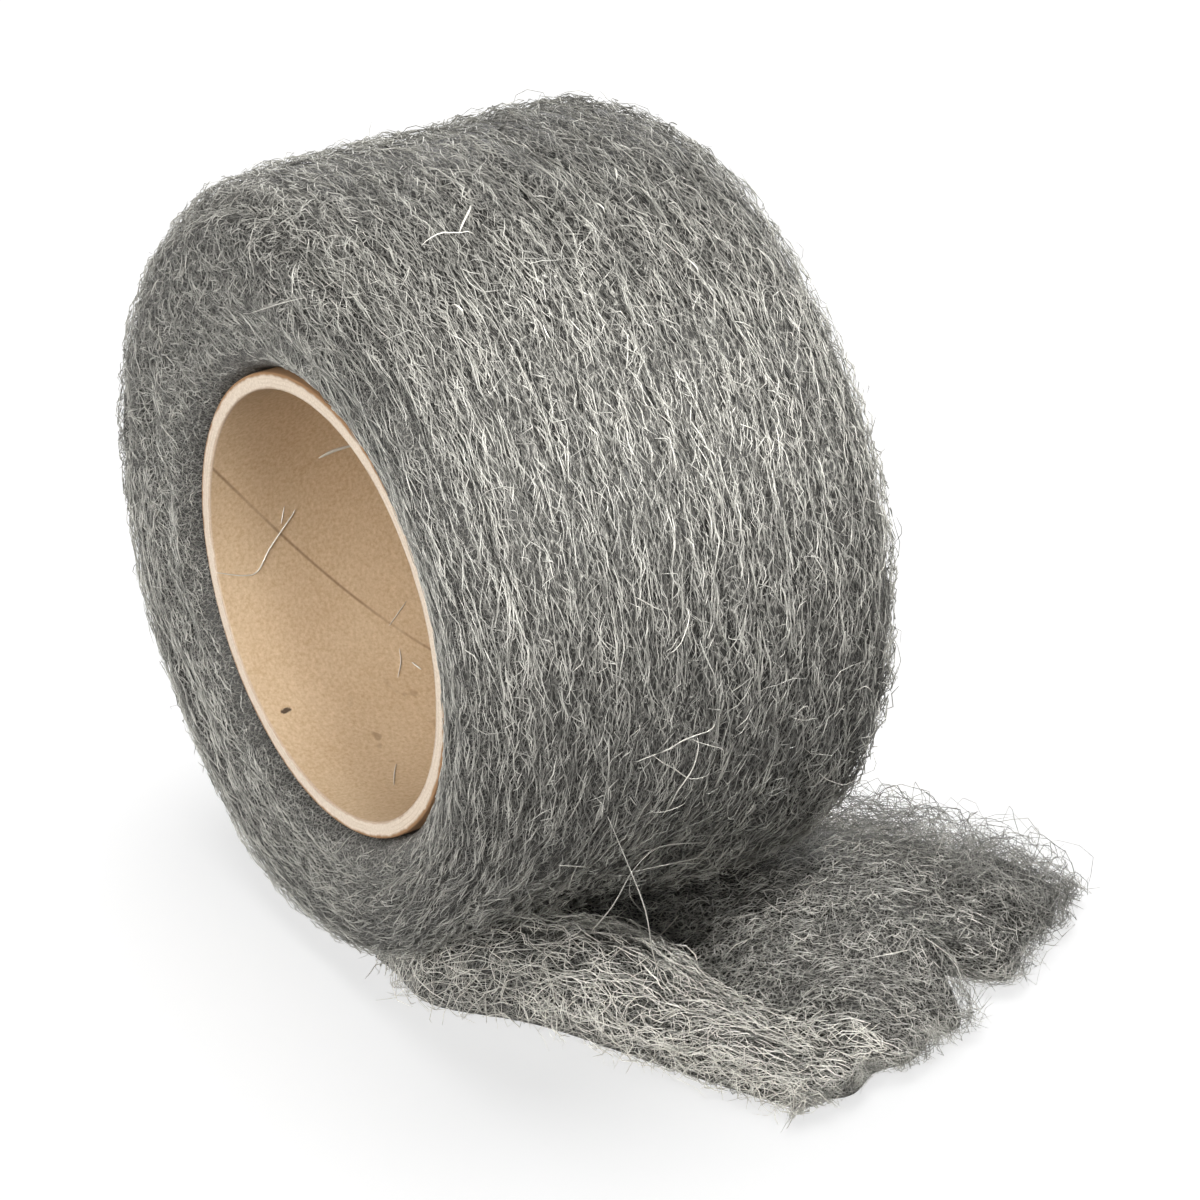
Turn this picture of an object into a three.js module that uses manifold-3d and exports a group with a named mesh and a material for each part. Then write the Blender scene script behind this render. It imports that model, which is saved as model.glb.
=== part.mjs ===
// A roll of steel wool: a soft band wound on a card tube, lying on its side, with the loose end of the band
// teased out over the floor. Millimetres, +Z up, the roll's axis along Y, the near end at -Y.
// The origin is on the floor, under the middle of the tube.
import * as THREE from "three";
import { mergeGeometries, mergeVertices } from "three/addons/utils/BufferGeometryUtils.js";
import Module from "manifold-3d";

// Card tube
const tubeBore = 76; // inside diameter, a common reel size
const tubeWall = 3;
const tubeLength = 78;
const tubeBevel = 0.5; // worn edge at both ends
const tubeSteps = 60; // sides of the round

// Wound wool
const fitGap = 0.3; // between the tube and the first turn
const woolPile = 28.7; // all turns together, from the tube to the outside
const bandWidth = 88; // along the axis, at the fullest part of the end faces
const crown = 0.5; // swell of the outside at mid width
const nearTuck = { across: 12, along: 8.5 }; // how far the end faces curl in beside the tube
const farTuck = { across: 6.5, along: 6.5 };
const nearShoulder = { across: 14, along: 17 }; // rounding of the outer edge, in radius and along the axis
const farShoulder = { across: 22, along: 15 };
const lean = 6.2; // the outer turns sit this far to -X of the tube
const stretch = 1.4; // the roll is this much taller and narrower than round, in radius
const settle = 1.5; // how far the underside is pressed flat
const peelDepth = 6; // lost from the outside over the loose end, where the outer turn has come away
const peelTurn = { middle: -42, spread: 26 }; // degrees round the roll, up from +X
const peelFade = { start: -5, end: 30 }; // along the axis, where that loss dies away towards the far end
const strandPitch = 9; // between the main bundles of wound strands
const finePitch = 6.5; // between the finer ones that cross them
const strandHeight = 1; // of both together, over and under the smooth roll
const lumpHeight = 0.7; // slow unevenness of the whole roll
const wanderLength = 125; // across the band, for the bundles to stray from an even winding
const breakLength = 57; // across the band, between the places where a bundle dips under the next
const swellLength = 105; // across the band, between slow swells
const reliefFade = { start: 1, end: 6.5 }; // over the tube, where the relief sets in
const sectionStep = 2.3; // length of a facet across the band
const turnSteps = 64; // facets around the roll

// Loose end of the band, on the floor
const tailStart = 8; // where it leaves the underside, from the axis
const tailReach = 79; // from the axis to the middle of its end
const tailInset = 1; // lost from each side where it leaves the roll
const tailNarrowing = 4; // lost from each side by its end
const tailShift = 6.5; // towards +Y where it leaves the roll
const tailDrift = 31.5; // drawn further towards +Y by its end
const tailRake = 8.5; // how far each end corner lies ahead of or behind the middle
const farDraw = 5; // how much further its far edge is drawn out by its end
const farSetback = 9; // how much shorter its far corner is torn
const tailPile = 9; // thickness where it leaves the roll and along its near half
const rootPile = 9; // further thickness of its near side, which fills the wedge under the roll
const rootShare = { full: 0.42, end: 0.72 }; // along it, where that further thickness dies away
const rootSpread = 6; // bulge of its near edge there
const fluffPile = 18; // thickness of the teased-up far half
const creaseDepth = 3.5; // of the hollow between the two halves
const creaseShare = { start: 0.1, drop: 0.75, width: 0.12 }; // its line across the band, drawn to the near side
const tailLump = 1.1; // unevenness of its top
const tailThinning = 0.35; // share of its thickness lost by its end
const tailCurl = 1.6; // height of its thin edges over the floor
const lobeReach = 5; // swell of the two lobes that the end is torn into
const notchDepth = 10; // of the gap between the lobes
const notchShare = { place: 0.19, width: 0.11 }; // its place and width across the band
const raggedReach = 1; // wave of the torn end edge
const tailSteps = { along: 20, across: 24 };

const tubeRadius = tubeBore / 2 + tubeWall;
const firstTurn = tubeRadius + fitGap;
const rollRadius = firstTurn + woolPile;
const axisHeight = rollRadius + stretch - settle;

const { smoothstep, lerp, radToDeg } = THREE.MathUtils;

const wasm = await Module();
wasm.setup();

// A smooth hill of height 1
function hill(value, centre, width) {
  return Math.exp(-(((value - centre) / width) ** 2));
}

// A closed geometry as a solid that can be joined to another
function solidOf(geometry) {
  const bare = new THREE.BufferGeometry();
  bare.setAttribute("position", geometry.attributes.position);
  bare.setIndex(geometry.index);
  const merged = mergeVertices(bare, 1e-3);
  return new wasm.Manifold(
    new wasm.Mesh({
      numProp: 3,
      vertProperties: merged.attributes.position.array,
      triVerts: new Uint32Array(merged.index.array),
    }),
  );
}

function geometryOf(solid) {
  const { vertProperties, triVerts } = solid.getMesh();
  const geometry = new THREE.BufferGeometry();
  geometry.setAttribute("position", new THREE.BufferAttribute(vertProperties, 3));
  geometry.setIndex(new THREE.BufferAttribute(triVerts, 1));
  geometry.computeVertexNormals();
  return geometry;
}

// The card tube: a square-cut ring section with worn edges, turned about the axis
function tubeGeometry() {
  const inner = tubeBore / 2;
  const half = tubeLength / 2;
  const section = [
    new THREE.Vector2(inner + tubeBevel, -half),
    new THREE.Vector2(tubeRadius - tubeBevel, -half),
    new THREE.Vector2(tubeRadius, -half + tubeBevel),
    new THREE.Vector2(tubeRadius, half - tubeBevel),
    new THREE.Vector2(tubeRadius - tubeBevel, half),
    new THREE.Vector2(inner + tubeBevel, half),
    new THREE.Vector2(inner, half - tubeBevel),
    new THREE.Vector2(inner, -half + tubeBevel),
  ];
  section.push(section[0].clone());
  return new THREE.LatheGeometry(section, tubeSteps);
}

// Section of the wound band: its inner wall, a rounded near end, the crowned outside and a rounder far end
function bandSection() {
  const half = bandWidth / 2;
  const near = Math.min(nearShoulder.across, woolPile - nearTuck.across);
  const far = Math.min(farShoulder.across, woolPile - farTuck.across);
  const nearFoot = firstTurn + nearTuck.across;
  const farFoot = firstTurn + farTuck.across;
  const quarter = Math.PI / 2;
  const corner = (r, y, across, along, turn) =>
    new THREE.EllipseCurve(r, y, across, along, turn * quarter, (turn + 1) * quarter);
  const line = (r0, y0, r1, y1) =>
    new THREE.LineCurve(new THREE.Vector2(r0, y0), new THREE.Vector2(r1, y1));
  const outside = new THREE.QuadraticBezierCurve(
    new THREE.Vector2(rollRadius, nearShoulder.along - half),
    new THREE.Vector2(rollRadius + 2 * crown, 0),
    new THREE.Vector2(rollRadius, half - farShoulder.along),
  );
  const faces = [
    corner(nearFoot, nearTuck.along - half, nearTuck.across, nearTuck.along, 2),
    line(nearFoot, -half, rollRadius - near, -half),
    corner(rollRadius - near, nearShoulder.along - half, near, nearShoulder.along, 3),
    outside,
    corner(rollRadius - far, half - farShoulder.along, far, farShoulder.along, 0),
    line(rollRadius - far, half, farFoot, half),
    corner(farFoot, half - farTuck.along, farTuck.across, farTuck.along, 1),
  ];
  const points = [new THREE.Vector2(firstTurn, 0)];
  for (const curve of faces) {
    const steps = Math.max(1, Math.round(curve.getLength() / sectionStep));
    const stretchPoints = curve.getPoints(steps);
    points.push(...(points.length > 1 ? stretchPoints.slice(1) : stretchPoints));
  }
  points.push(points[0].clone());
  return points;
}

// Distance along the section to each of its points
function runningLength(points) {
  const lengths = [0];
  for (let i = 1; i < points.length; i++) lengths.push(lengths[i - 1] + points[i].distanceTo(points[i - 1]));
  return lengths;
}

// Height of the surface over the smooth roll: bundles of strands wind on as a spiral over the ends and a helix
// over the outside, dip under one another here and there, and slow lumps make the whole uneven
function windingRelief(run, turn) {
  const across = (length) => (2 * Math.PI * run) / length;
  const drift = across(wanderLength);
  const stray = 2 * Math.sin(3 * turn + drift) + 1.1 * Math.sin(7 * turn - drift + 1.7);
  const bundle = Math.sin(across(strandPitch) + turn + stray);
  const shown = 0.5 + 0.5 * Math.sin(5 * turn - across(breakLength) + 1.3 * Math.sin(2 * turn));
  const fine = Math.sin(across(finePitch) - 2 * turn + 1.8 * Math.sin(4 * turn + drift + 2));
  const fineShown = 0.5 + 0.5 * Math.sin(6 * turn + across(breakLength) + 2);
  const swell = Math.sin(3 * turn + across(swellLength)) * Math.sin(0.75 * across(swellLength) + 0.8);
  const dent = Math.sin(7 * turn - across(breakLength) + 2.1);
  const strands = 0.75 * bundle * shown + 0.45 * fine * fineShown;
  return strandHeight * strands + lumpHeight * (0.7 * swell + 0.3 * dent);
}

// The wound roll: its section turned about the axis, leaning, lumpy, thinner where the outer turn has come
// away, and pressed flat where it lies
function rollGeometry() {
  const section = bandSection();
  const lengths = runningLength(section);
  const geometry = new THREE.LatheGeometry(section, turnSteps);
  const place = geometry.attributes.position;
  const normal = geometry.attributes.normal;
  const spot = new THREE.Vector3();
  const out = new THREE.Vector3();
  for (let i = 0; i < place.count; i++) {
    spot.fromBufferAttribute(place, i);
    out.fromBufferAttribute(normal, i);
    const radius = Math.hypot(spot.x, spot.z);
    const turn = Math.atan2(spot.z, spot.x);
    const share = THREE.MathUtils.clamp((radius - firstTurn) / woolPile, 0, 1);
    const oval = (stretch * share) / rollRadius;
    const nearPart = 1 - smoothstep(spot.y, peelFade.start, peelFade.end);
    const peelShare = share * share * nearPart * hill(radToDeg(turn), peelTurn.middle, peelTurn.spread);
    const peel = (peelDepth * peelShare) / radius;
    spot.x = spot.x * (1 - oval - peel) - lean * share;
    spot.z = spot.z * (1 + oval - peel) + axisHeight;
    const clear = smoothstep(radius, firstTurn + reliefFade.start, firstTurn + reliefFade.end);
    const free = clear * smoothstep(spot.z, 0, 4 * settle);
    spot.addScaledVector(out, free * windingRelief(lengths[i % section.length], turn));
    spot.z = Math.max(spot.z, 0);
    place.setXYZ(i, spot.x, spot.y, spot.z);
  }
  return geometry;
}

// Thickness of the loose end before its edges thin out: a near half that is thick at its root and then
// flattened, a hollow that runs from the middle under the roll to the near corner of the end, and a teased-up
// far half, all of it tangled into bumps
function tailRise(along, across) {
  const crease = creaseShare.start - creaseShare.drop * along;
  const fluff = smoothstep(across, crease, crease + 0.7) * smoothstep(along, 0.15, 0.55);
  const hollow = creaseDepth * hill(across, crease, creaseShare.width) * smoothstep(along, 0.2, 0.45);
  const nearSide = 1 - smoothstep(across, -0.85, -0.25);
  const root = rootPile * nearSide * (1 - smoothstep(along, rootShare.full, rootShare.end));
  const broad = Math.sin(9 * along + 4 * across) * Math.sin(7 * across - 3 * along + 0.6);
  const small = Math.sin(21 * along - 8 * across + 1) * Math.sin(15 * across + 5 * along);
  const thinning = 1 - tailThinning * along * along;
  return thinning * lerp(tailPile, fluffPile, fluff) + root - hollow + tailLump * (broad + 0.7 * small);
}

// A point on the top or bottom of the loose end, at a share along it (0 under the roll, 1 at its end) and a
// share across it (-1 at the near edge, 1 at the far edge)
function tailPoint(along, across, top) {
  const half = bandWidth / 2 - tailInset - tailNarrowing * along * along;
  const notch = notchDepth * hill(across, notchShare.place, notchShare.width);
  const ragged = raggedReach * Math.sin(17 * across + 1);
  const farSide = smoothstep(across, 0, 1);
  const swell = lobeReach * Math.sqrt(1 - across * across) - notch + ragged;
  const rake = tailRake * across + farSetback * farSide;
  const x = lerp(tailStart, tailReach, along) - rake * along * along + swell * along ** 5;
  const bulge = rootSpread * hill(along, 0.24, 0.14) * Math.max(0, -across);
  const y = tailShift + tailDrift * along ** 1.15 + half * across - bulge + farDraw * farSide * along * along;
  const edge = Math.sqrt((1 - across ** 8) * (1 - along ** 10) * smoothstep(along, 0, 0.12));
  return [x, y, top ? lerp(tailCurl, tailRise(along, across), edge) : tailCurl * (1 - edge)];
}

function tailGeometry() {
  const skins = [true, false].map((top) => {
    const skin = new THREE.PlaneGeometry(1, 1, tailSteps.along, tailSteps.across);
    const place = skin.attributes.position;
    for (let i = 0; i < place.count; i++) {
      place.setXYZ(i, ...tailPoint(place.getX(i) + 0.5, 2 * place.getY(i), top));
    }
    if (!top) skin.index.array.reverse();
    return skin;
  });
  return mergeGeometries(skins);
}

const card = new THREE.MeshStandardMaterial({ color: 0xc2a178, roughness: 0.85, metalness: 0 });
const steel = new THREE.MeshStandardMaterial({ color: 0x8f8d88, roughness: 0.5, metalness: 0.8 });

const coreTube = new THREE.Mesh(tubeGeometry(), card);
coreTube.name = "core_tube";
coreTube.position.z = axisHeight;

const woolRoll = new THREE.Mesh(geometryOf(solidOf(rollGeometry()).add(solidOf(tailGeometry()))), steel);
woolRoll.name = "wool_roll";

const roll = new THREE.Group();
roll.add(coreTube, woolRoll);

export default roll;
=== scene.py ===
import math
from functools import partial

import bpy
import numpy as np
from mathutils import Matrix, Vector


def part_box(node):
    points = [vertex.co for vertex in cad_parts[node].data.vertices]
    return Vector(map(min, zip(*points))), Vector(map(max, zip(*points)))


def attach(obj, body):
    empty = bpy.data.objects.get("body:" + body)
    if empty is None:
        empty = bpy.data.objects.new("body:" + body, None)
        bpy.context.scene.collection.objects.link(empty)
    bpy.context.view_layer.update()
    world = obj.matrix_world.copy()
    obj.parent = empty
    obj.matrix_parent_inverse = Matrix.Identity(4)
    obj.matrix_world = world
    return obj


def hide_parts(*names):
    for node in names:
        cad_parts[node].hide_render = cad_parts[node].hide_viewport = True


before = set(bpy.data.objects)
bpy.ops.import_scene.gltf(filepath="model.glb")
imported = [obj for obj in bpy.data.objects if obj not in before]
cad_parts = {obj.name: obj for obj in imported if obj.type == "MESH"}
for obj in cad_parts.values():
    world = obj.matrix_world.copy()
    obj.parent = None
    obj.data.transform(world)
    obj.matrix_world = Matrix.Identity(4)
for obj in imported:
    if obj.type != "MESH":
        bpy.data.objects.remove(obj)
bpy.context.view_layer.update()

print("frame loaded, nodes:", sorted(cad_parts))

tubeLow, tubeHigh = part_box("core_tube")
axisHeight = (tubeLow.z + tubeHigh.z) / 2
tubeRadius = (tubeHigh.x - tubeLow.x) / 2
tubeHalf = (tubeHigh.y - tubeLow.y) / 2
mm = 0.001


# camera
photoCamera = {
    "azimuth": 56.23,  # degrees from the near end towards the loose end
    "elevation": 29.04,
    "distance": 0.6469,
    "target": (0.01489, 0.00863, axisHeight - 0.00633),
    "lens": 111.9,
    "sensor": 36.0,
    "clip": (0.01, 20.0),
}


def addObject(name, data):
    item = bpy.data.objects.new(name, data)
    bpy.context.scene.collection.objects.link(item)
    return item


def lookAt(item, target, values):
    # a camera or lamp faces its target from its own azimuth, elevation and distance
    turn, rise = math.radians(values["azimuth"]), math.radians(values["elevation"])
    back = Vector((math.sin(turn) * math.cos(rise), -math.cos(turn) * math.cos(rise), math.sin(rise)))
    item.location = Vector(target) + back * values["distance"]
    item.rotation_euler = (-back).to_track_quat("-Z", "Y").to_euler()


def makeCamera(values):
    data = bpy.data.cameras.new("photoCamera")
    data.lens = values["lens"]
    data.sensor_width = values["sensor"]
    data.clip_start, data.clip_end = values["clip"]
    camera = addObject("photoCamera", data)
    lookAt(camera, values["target"], values)
    bpy.context.scene.camera = camera


# node helpers, shared by the materials and the geometry trees
def plug(tree, socket, value):
    if isinstance(value, bpy.types.Node):
        value = value.outputs[0]
    if isinstance(value, bpy.types.NodeSocket):
        tree.links.new(value, socket)
    elif value is not None:
        socket.default_value = value


def addNode(tree, kind, inputs=None, **settings):
    # inputs by name or number; a node among them stands for its first output
    node = tree.nodes.new(kind)
    for name, value in settings.items():
        setattr(node, name, value)
    for name, value in (inputs or {}).items():
        plug(tree, node.inputs[name], value)
    return node


def addSocket(tree, name, kind, way="INPUT"):
    return tree.interface.new_socket(name, in_out=way, socket_type="NodeSocket" + kind)


def mathNode(tree, operation, a, b=None, c=None, clamp=False):
    node = addNode(tree, "ShaderNodeMath", {0: a, 1: b, 2: c}, operation=operation, use_clamp=clamp)
    return node.outputs[0]


def sums(tree):
    # plus, minus, times and over, as nodes of a tree
    return [partial(mathNode, tree, kind) for kind in ("ADD", "SUBTRACT", "MULTIPLY", "DIVIDE")]


def vectorNode(tree, operation, a, b=None):
    second = "Scale" if operation == "SCALE" else 1
    node = addNode(tree, "ShaderNodeVectorMath", {0: a, second: b}, operation=operation)
    return node.outputs["Value" if operation == "LENGTH" else 0]


def splitNode(tree, vector):
    return addNode(tree, "ShaderNodeSeparateXYZ", {0: vector}).outputs


def combineNode(tree, x, y, z=0.0):
    return addNode(tree, "ShaderNodeCombineXYZ", {0: x, 1: y, 2: z}).outputs[0]


def rangeNode(tree, value, fromMin, fromMax, toMin=0.0, toMax=1.0):
    inputs = dict(enumerate((value, fromMin, fromMax, toMin, toMax)))
    return addNode(tree, "ShaderNodeMapRange", inputs).outputs[0]


def noiseNode(tree, vector, scale, detail=2.0, roughness=0.5, output="Fac"):
    inputs = {"Vector": vector, "Scale": scale, "Detail": detail, "Roughness": roughness}
    return addNode(tree, "ShaderNodeTexNoise", inputs).outputs[output]


def mixColour(tree, factor, a, b):
    return addNode(tree, "ShaderNodeMix", {"Factor": factor, 6: a, 7: b}, data_type="RGBA").outputs[2]


def bumpNode(tree, shader, height, strength, distance):
    inputs = {"Height": height, "Strength": strength, "Distance": distance}
    plug(tree, shader.inputs["Normal"], addNode(tree, "ShaderNodeBump", inputs))


def linear(red, green, blue):
    def channel(c):
        c /= 255
        return c / 12.92 if c <= 0.04045 else ((c + 0.055) / 1.055) ** 2.4
    return (channel(red), channel(green), channel(blue), 1.0)


shaderInputs = {"metallic": "Metallic", "roughness": "Roughness", "gloss": "Specular IOR Level"}
noiseSpan = (0.3, 0.7)  # where most values of a noise lie


def newMaterial(name, look):
    material = bpy.data.materials.new(name)
    material.use_nodes = True
    tree = material.node_tree
    shader = tree.nodes["Principled BSDF"]
    for key, socket in shaderInputs.items():
        plug(tree, shader.inputs[socket], look.get(key))
    return material, tree, shader


# the wound roll's form, the same as the solid's, in metres
rollForm = {
    "fitGap": 0.3 * mm,
    "pile": 28.7 * mm,
    "width": 88 * mm,
    "crown": 0.5 * mm,
    "nearTuck": (12 * mm, 8.5 * mm),  # across, along
    "farTuck": (6.5 * mm, 6.5 * mm),
    "nearShoulder": (14 * mm, 17 * mm),
    "farShoulder": (22 * mm, 15 * mm),
    "lean": 6.2 * mm,
    "stretch": 1.4 * mm,
    "settle": 1.5 * mm,
    "peelDepth": 6 * mm,
    "peelTurn": (-42, 26),  # degrees: middle, spread
    "peelFade": (-5 * mm, 30 * mm),
    "strandPitch": 9 * mm,
    "finePitch": 6.5 * mm,
    "strandHeight": 1 * mm,
    "lumpHeight": 0.7 * mm,
    "wanderLength": 125 * mm,
    "breakLength": 57 * mm,
    "swellLength": 105 * mm,
    "reliefFade": (1 * mm, 6.5 * mm),
    "rind": 1.6 * mm,  # how far the body stays under the fibres
    "floorGap": 0.2 * mm,
    "wallShare": 0.05,  # strip of the UV map that the inner wall takes
    "aroundSteps": 140,
    "acrossSteps": 72,
}


def smoothStep(value, low, high):
    t = np.clip((value - low) / (high - low), 0, 1)
    return t * t * (3 - 2 * t)


def hill(value, centre, width):
    return np.exp(-((value - centre) / width) ** 2)


def quarterArc(r, y, across, along, quarter, steps=60):
    angle = (quarter + np.linspace(0, 1, steps)) * math.pi / 2
    return np.stack([r + across * np.cos(angle), y + along * np.sin(angle)], -1)


def bandSection(form):
    first = tubeRadius + form["fitGap"]
    outer = first + form["pile"]
    half = form["width"] / 2
    nearIn, nearBack = form["nearTuck"]
    farIn, farBack = form["farTuck"]
    nearAcross, nearAlong = form["nearShoulder"]
    farAcross, farAlong = form["farShoulder"]
    nearAcross = min(nearAcross, form["pile"] - nearIn)
    farAcross = min(farAcross, form["pile"] - farIn)
    bow = np.linspace(0, 1, 60)
    outside = np.stack([
        outer + 4 * form["crown"] * bow * (1 - bow),
        (nearAlong - half) * (1 - bow) + (half - farAlong) * bow,
    ], -1)
    line = np.concatenate([
        quarterArc(first + nearIn, nearBack - half, nearIn, nearBack, 2),
        quarterArc(outer - nearAcross, nearAlong - half, nearAcross, nearAlong, 3),
        outside,
        quarterArc(outer - farAcross, half - farAlong, farAcross, farAlong, 0),
        quarterArc(first + farIn, half - farBack, farIn, farBack, 1),
    ])
    run = np.concatenate([[0], np.cumsum(np.hypot(*np.diff(line, axis=0).T))])
    return line, run


def windingRelief(form, run, turn):
    # waves: a whole number before the turn counts them round the roll, the rest are weights and phases
    run = run + form["width"] / 2 - form["nearTuck"][1]  # counted from the middle of the inner wall

    def across(length):
        return 2 * math.pi * run / form[length]

    drift, dip = across("wanderLength"), across("breakLength")
    stray = 2 * np.sin(3 * turn + drift) + 1.1 * np.sin(7 * turn - drift + 1.7)
    bundle = np.sin(across("strandPitch") + turn + stray)
    shown = 0.5 + 0.5 * np.sin(5 * turn - dip + 1.3 * np.sin(2 * turn))
    fine = np.sin(across("finePitch") - 2 * turn + 1.8 * np.sin(4 * turn + drift + 2))
    fineShown = 0.5 + 0.5 * np.sin(6 * turn + dip + 2)
    swell = np.sin(3 * turn + across("swellLength")) * np.sin(0.75 * across("swellLength") + 0.8)
    dent = np.sin(7 * turn - dip + 2.1)
    strands = 0.75 * bundle * shown + 0.45 * fine * fineShown
    return form["strandHeight"] * strands + form["lumpHeight"] * (0.7 * swell + 0.3 * dent)


def rollPoints(form, around, across, depth):
    # points of the roll's surface at shares around and across it, sunk by depth
    line, run = bandSection(form)
    first = tubeRadius + form["fitGap"]
    outer = first + form["pile"]
    at = across * run[-1]
    radius = np.interp(at, run, line[:, 0])
    along = np.interp(at, run, line[:, 1])
    slopeR = np.interp(at, run, np.gradient(line[:, 0]))
    slopeY = np.interp(at, run, np.gradient(line[:, 1]))
    size = np.hypot(slopeR, slopeY) + 1e-12
    outR, outY = slopeY / size, -slopeR / size
    turn = 2 * math.pi * around
    share = np.clip((radius - first) / form["pile"], 0, 1)
    oval = form["stretch"] * share / outer
    upward = (np.degrees(turn) + 180) % 360 - 180
    peel = form["peelDepth"] * share ** 2 * hill(upward, *form["peelTurn"]) / radius
    peel = peel * (1 - smoothStep(along, *form["peelFade"]))
    x = radius * np.cos(turn) * (1 - oval - peel) - form["lean"] * share
    z = radius * np.sin(turn) * (1 + oval - peel) + axisHeight
    fadeStart, fadeEnd = form["reliefFade"]
    clear = smoothStep(radius, first + fadeStart, first + fadeEnd)
    free = clear * smoothStep(z, 0, 4 * form["settle"])
    lift = free * windingRelief(form, at, turn) - depth * clear
    x = x + lift * outR * np.cos(turn)
    z = z + lift * outR * np.sin(turn)
    return np.stack([x, along + lift * outY, np.maximum(z, form["floorGap"])], -1)


def meshObject(name, points, faces, uvs=None):
    mesh = bpy.data.meshes.new(name)
    mesh.from_pydata([tuple(p) for p in points], [], [tuple(f) for f in faces])
    if uvs is not None:
        layer = mesh.uv_layers.new(name="OFBake")
        layer.data.foreach_set("uv", np.asarray(uvs, np.float32).reshape(-1))
    mesh.polygons.foreach_set("use_smooth", np.ones(len(mesh.polygons), bool))
    mesh.update()
    return addObject(name, mesh)


def quadUvs(left, right, low, high):
    # each quad's own rectangle of the map
    corners = ((left, low), (right, low), (right, high), (left, high))
    return np.stack([np.stack(np.broadcast_arrays(*corner), -1) for corner in corners], 1)


def gridFaces(columns, rows, closed):
    # quads of a grid whose points run down the rows of one column, then the next
    column = np.arange(columns)[:, None]
    row = np.arange(rows - 1)[None, :]
    after = (column + 1) % columns if closed else column + 1
    if not closed:
        column, after = column[:-1], after[:-1]
    a = column * rows + row
    b = after * rows + row
    return np.stack([a, b, b + 1, a + 1], -1).reshape(-1, 4)


def makeRollBody(form):
    columns, rows = form["aroundSteps"], form["acrossSteps"] + 1
    around, across = np.meshgrid(np.arange(columns) / columns, np.linspace(0, 1, rows), indexing="ij")
    points = rollPoints(form, around, across, form["rind"]).reshape(-1, 3)
    faces = gridFaces(columns, rows, True)
    column = np.repeat(np.arange(columns), rows - 1)
    row = np.tile(np.arange(rows - 1), columns)
    reach = 1 - form["wallShare"]
    low, high = row / (rows - 1) * reach, (row + 1) / (rows - 1) * reach
    uvs = quadUvs(column / columns, (column + 1) / columns, low, high)
    # inner wall, from the far edge back to the near edge
    step = np.arange(columns)
    after = (step + 1) % columns
    wall = np.stack([step * rows + rows - 1, after * rows + rows - 1, after * rows, step * rows], -1)
    wallUvs = quadUvs(step / columns, (step + 1) / columns, reach, 1.0)
    # corners in reverse order, so that the faces point outwards
    faces = np.concatenate([faces, wall])[:, ::-1]
    uvs = np.concatenate([uvs, wallUvs])[:, ::-1].reshape(-1, 2)
    return meshObject("wool_body", points, faces, uvs)


# the loose end's form, the same as the solid's, in metres
tailForm = {
    "start": 8 * mm,
    "reach": 79 * mm,
    "inset": 1 * mm,
    "narrowing": 4 * mm,
    "shift": 6.5 * mm,
    "drift": 31.5 * mm,
    "driftPower": 1.15,
    "rake": 8.5 * mm,
    "farDraw": 5 * mm,
    "farSetback": 9 * mm,
    "pile": 9 * mm,
    "root": 9 * mm,  # further thickness of the near side under the roll
    "rootShare": (0.42, 0.72),  # where it thins out along the band, and across it
    "rootSide": (-0.85, -0.25),
    "rootSpread": 6 * mm,
    "rootBulge": (0.24, 0.14),  # middle and width along the band
    "fluff": 18 * mm,
    "fluffSpread": 0.7,  # how far across the band it takes to rise, and where along the band
    "fluffShare": (0.15, 0.55),
    "creaseDepth": 3.5 * mm,
    "crease": (0.1, 0.75, 0.12),  # its line across the band: start, drop, width
    "creaseShare": (0.2, 0.45),
    "lump": 1.1 * mm,
    "thinning": 0.35,
    "curl": 1.6 * mm,
    "lobe": 5 * mm,
    "notch": 10 * mm,
    "notchShare": (0.19, 0.11),  # place and width across the band
    "ragged": 1 * mm,
    "underGap": 0.3 * mm,  # under it, and between its two skins at the edge
    "startShare": 0.12,  # where it starts to rise
    "rind": 2.2 * mm,
    "walls": (0.12, 0.25),  # shares of its length and width that the rounded edges take
    "topShare": 0.48,  # strip of the UV map that the top takes, and the underside too
    "underStart": 0.5,
    "rimStrip": (0.985, 0.998),
    "alongSteps": 40,
    "acrossSteps": 52,
}


def tailRise(form, along, across):
    start, drop, width = form["crease"]
    crease = start - drop * along
    fluff = smoothStep(across, crease, crease + form["fluffSpread"])
    fluff = fluff * smoothStep(along, *form["fluffShare"])
    hollow = form["creaseDepth"] * hill(across, crease, width) * smoothStep(along, *form["creaseShare"])
    nearSide = 1 - smoothStep(across, *form["rootSide"])
    root = form["root"] * nearSide * (1 - smoothStep(along, *form["rootShare"]))
    broad = np.sin(9 * along + 4 * across) * np.sin(7 * across - 3 * along + 0.6)
    small = np.sin(21 * along - 8 * across + 1) * np.sin(15 * across + 5 * along)
    thinning = 1 - form["thinning"] * along * along
    rise = thinning * (form["pile"] * (1 - fluff) + form["fluff"] * fluff)
    return rise + root - hollow + form["lump"] * (broad + 0.7 * small)


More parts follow.
